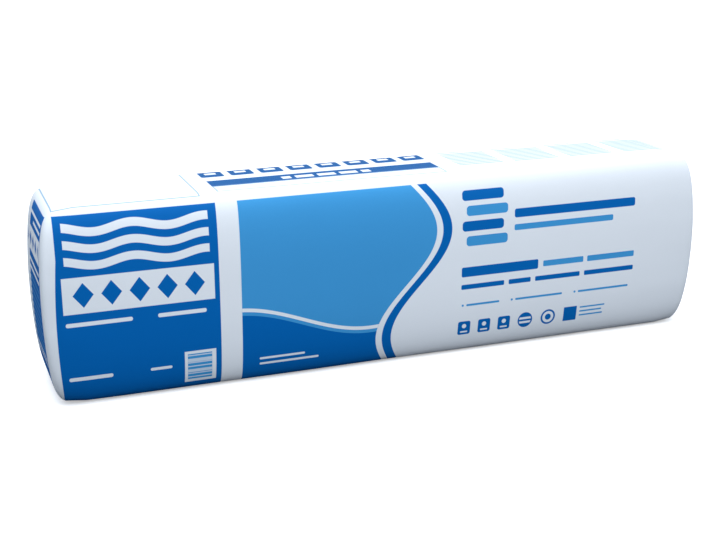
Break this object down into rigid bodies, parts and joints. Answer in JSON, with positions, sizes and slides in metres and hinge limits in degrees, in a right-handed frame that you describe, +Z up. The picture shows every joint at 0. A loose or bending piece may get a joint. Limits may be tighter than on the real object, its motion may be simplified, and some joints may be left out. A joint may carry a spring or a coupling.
{
  "type": "packaged fiberglass insulation batts",
  "caption": "Tight film bag of folded, compressed fiberglass insulation batts, a long soft-edged block that lies flat on its side for storage and transport",
  "frame": {"origin": "on the floor under the middle of the bag", "axes": "+X along the length of the bag, +Y through its depth, away from the printed front, +Z up"},
  "size_m": [1.2, 0.21, 0.333],
  "materials": {
    "film": "white polyethylene film with blue printed panels, satin gloss",
    "glass_wool": "tan bonded glass wool, matte and fibrous"
  },
  "bodies": {
    "root": {"film_bag": "film", "batt_1": "glass_wool", "batt_2": "glass_wool", "batt_3": "glass_wool"}
  },
  "joints": []
}
